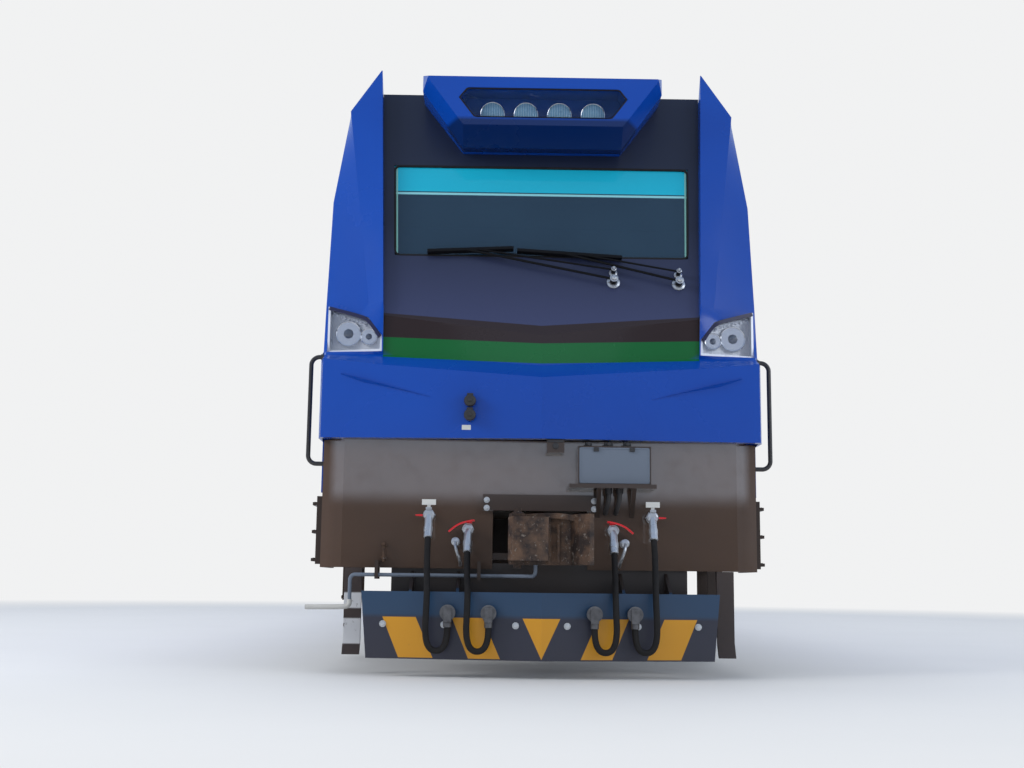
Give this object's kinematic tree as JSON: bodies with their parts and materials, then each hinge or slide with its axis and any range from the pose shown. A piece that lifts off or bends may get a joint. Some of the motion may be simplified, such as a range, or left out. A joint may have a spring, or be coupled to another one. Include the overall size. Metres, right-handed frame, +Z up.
{
  "type": "electric locomotive",
  "caption": "Two-cab electric locomotive on two three-axle bogies, with angular raised corner blades, brow lamp housing, plough, knuckle couplers and folding pantographs.",
  "frame": {"origin": "centre of the locomotive's plan, at the lowest point of the wheel flanges, 28 mm under the rail head", "axes": "+X to the right seen from the front of the A end, +Y from the A end to the B end, +Z up"},
  "size_m": [3.356, 22.03, 4.7822],
  "materials": {
    "body_blue": "gloss",
    "mask_dark": "gloss",
    "tinted_glass": "gloss",
    "lamp_lens": "gloss",
    "cab_lining": "matt",
    "chair_fabric": "matt",
    "louvre_paint": "satin",
    "roof_grey": "satin",
    "frame_black": "gloss",
    "coupler_rust": "rusty",
    "plough_slate": "satin",
    "bogie_grey": "satin",
    "motor_dark": "satin",
    "spring_steel": "satin",
    "wheel_steel": "worn",
    "arm_grey": "satin",
    "insulator_red": "gloss",
    "rail_steel": "satin",
    "hose_rubber": "matt",
    "valve_silver": "satin",
    "wiper_black": "satin"
  },
  "bodies": {
    "car_body": {"nose_panels": "body_blue", "corner_blades": "body_blue", "cab_sides": "body_blue", "cab_roofs": "body_blue", "brow_housings": "body_blue", "machine_walls": "body_blue", "window_masks": "mask_dark", "cab_glass": "tinted_glass", "lamps": "lamp_lens", "bulkheads": "cab_lining", "desks": "cab_lining", "seats": "chair_fabric", "louvre_banks": "louvre_paint", "machine_roofs": "roof_grey", "roof_units": "roof_grey", "deck": "frame_black", "sole_bars": "frame_black", "draft_boxes": "frame_black", "bolsters": "frame_black", "aprons": "frame_black", "front_fittings": "frame_black", "steps": "frame_black", "couplers": "coupler_rust", "ploughs": "plough_slate", "transformer": "bogie_grey", "underfloor_boxes": "bogie_grey", "pantograph_bases": "insulator_red", "roof_gear": "insulator_red", "grab_rails": "rail_steel", "uncoupling_rods": "rail_steel", "brake_hoses": "hose_rubber", "brake_cocks": "valve_silver", "wipers": "wiper_black"},
    "bogie_a": {"bogie_frame_a": "bogie_grey", "axle_boxes_a": "bogie_grey", "bogie_springs_a": "spring_steel", "motors_a": "motor_dark"},
    "bogie_b": {"bogie_frame_b": "bogie_grey", "axle_boxes_b": "bogie_grey", "bogie_springs_b": "spring_steel", "motors_b": "motor_dark"},
    "wheelset_1": {"wheelset_1": "wheel_steel"},
    "wheelset_2": {"wheelset_2": "wheel_steel"},
    "wheelset_3": {"wheelset_3": "wheel_steel"},
    "wheelset_4": {"wheelset_4": "wheel_steel"},
    "wheelset_5": {"wheelset_5": "wheel_steel"},
    "wheelset_6": {"wheelset_6": "wheel_steel"},
    "door_a_left": {"door_a_left": "body_blue"},
    "door_a_right": {"door_a_right": "body_blue"},
    "panto_lower_arm_a": {"pantograph_lower_arm_a": "arm_grey"},
    "panto_upper_arm_a": {"pantograph_upper_arm_a": "arm_grey"},
    "panto_rod_a": {"pantograph_rod_a": "arm_grey"},
    "panto_head_a": {"pantograph_head_a": "arm_grey"},
    "door_b_left": {"door_b_left": "body_blue"},
    "door_b_right": {"door_b_right": "body_blue"},
    "panto_lower_arm_b": {"pantograph_lower_arm_b": "arm_grey"},
    "panto_upper_arm_b": {"pantograph_upper_arm_b": "arm_grey"},
    "panto_rod_b": {"pantograph_rod_b": "arm_grey"},
    "panto_head_b": {"pantograph_head_b": "arm_grey"}
  },
  "joints": [
    {"name": "bogie_a_swivel", "type": "hinge", "parent": "car_body", "child": "bogie_a", "pos_m": [0, -5.35, 1], "axis": [0, 0, 1], "range_deg": [-3, 3]},
    {"name": "bogie_b_swivel", "type": "hinge", "parent": "car_body", "child": "bogie_b", "pos_m": [0, 5.35, 1], "axis": [0, 0, 1], "range_deg": [-3, 3]},
    {"name": "wheelset_1_roll", "type": "hinge", "parent": "bogie_a", "child": "wheelset_1", "pos_m": [0, -7.5, 0.653], "axis": [1, 0, 0], "continuous": true},
    {"name": "wheelset_2_roll", "type": "hinge", "parent": "bogie_a", "child": "wheelset_2", "pos_m": [0, -5.35, 0.653], "axis": [1, 0, 0], "continuous": true},
    {"name": "wheelset_3_roll", "type": "hinge", "parent": "bogie_a", "child": "wheelset_3", "pos_m": [0, -3.2, 0.653], "axis": [1, 0, 0], "continuous": true},
    {"name": "wheelset_4_roll", "type": "hinge", "parent": "bogie_b", "child": "wheelset_4", "pos_m": [0, 3.2, 0.653], "axis": [1, 0, 0], "continuous": true},
    {"name": "wheelset_5_roll", "type": "hinge", "parent": "bogie_b", "child": "wheelset_5", "pos_m": [0, 5.35, 0.653], "axis": [1, 0, 0], "continuous": true},
    {"name": "wheelset_6_roll", "type": "hinge", "parent": "bogie_b", "child": "wheelset_6", "pos_m": [0, 7.5, 0.653], "axis": [1, 0, 0], "continuous": true},
    {"name": "door_a_right_hinge", "type": "hinge", "parent": "car_body", "child": "door_a_right", "pos_m": [1.472, -8.17, 2.7], "axis": [0, 0, -1], "range_deg": [0, 85]},
    {"name": "door_a_left_hinge", "type": "hinge", "parent": "car_body", "child": "door_a_left", "pos_m": [-1.472, -8.17, 2.7], "axis": [0, 0, 1], "range_deg": [0, 85]},
    {"name": "door_b_right_hinge", "type": "hinge", "parent": "car_body", "child": "door_b_right", "pos_m": [-1.472, 8.17, 2.7], "axis": [0, 0, -1], "range_deg": [0, 85]},
    {"name": "door_b_left_hinge", "type": "hinge", "parent": "car_body", "child": "door_b_left", "pos_m": [1.472, 8.17, 2.7], "axis": [0, 0, 1], "range_deg": [0, 85]},
    {"name": "panto_a_raise", "type": "hinge", "parent": "car_body", "child": "panto_lower_arm_a", "pos_m": [0, -5.7, 4.53], "axis": [-1, 0, 0], "range_deg": [0, 50]},
    {"name": "panto_a_knee", "type": "hinge", "parent": "panto_lower_arm_a", "child": "panto_upper_arm_a", "pos_m": [0, -7.24971, 4.55976], "axis": [1, 0, 0], "range_deg": [0, 95]},
    {"name": "panto_a_head_level", "type": "hinge", "parent": "panto_upper_arm_a", "child": "panto_head_a", "pos_m": [0, -5.55472, 4.69018], "axis": [-1, 0, 0], "range_deg": [0, 45]},
    {"name": "panto_a_rod", "type": "hinge", "parent": "car_body", "child": "panto_rod_a", "pos_m": [0, -5.914, 4.469], "axis": [-1, 0, 0], "range_deg": [0, 54]},
    {"name": "panto_b_raise", "type": "hinge", "parent": "car_body", "child": "panto_lower_arm_b", "pos_m": [0, 5.7, 4.53], "axis": [1, 0, 0], "range_deg": [0, 50]},
    {"name": "panto_b_knee", "type": "hinge", "parent": "panto_lower_arm_b", "child": "panto_upper_arm_b", "pos_m": [0, 7.24971, 4.55976], "axis": [-1, 0, 0], "range_deg": [0, 95]},
    {"name": "panto_b_head_level", "type": "hinge", "parent": "panto_upper_arm_b", "child": "panto_head_b", "pos_m": [0, 5.55472, 4.69018], "axis": [1, 0, 0], "range_deg": [0, 45]},
    {"name": "panto_b_rod", "type": "hinge", "parent": "car_body", "child": "panto_rod_b", "pos_m": [0, 5.914, 4.469], "axis": [1, 0, 0], "range_deg": [0, 54]}
  ],
  "couplings": [
    {"joint": "panto_a_knee", "follows": "panto_a_raise", "ratio": 1.89},
    {"joint": "panto_a_head_level", "follows": "panto_a_raise", "ratio": 0.89},
    {"joint": "panto_a_rod", "follows": "panto_a_raise", "ratio": 1.065},
    {"joint": "panto_b_knee", "follows": "panto_b_raise", "ratio": 1.89},
    {"joint": "panto_b_head_level", "follows": "panto_b_raise", "ratio": 0.89},
    {"joint": "panto_b_rod", "follows": "panto_b_raise", "ratio": 1.065}
  ]
}
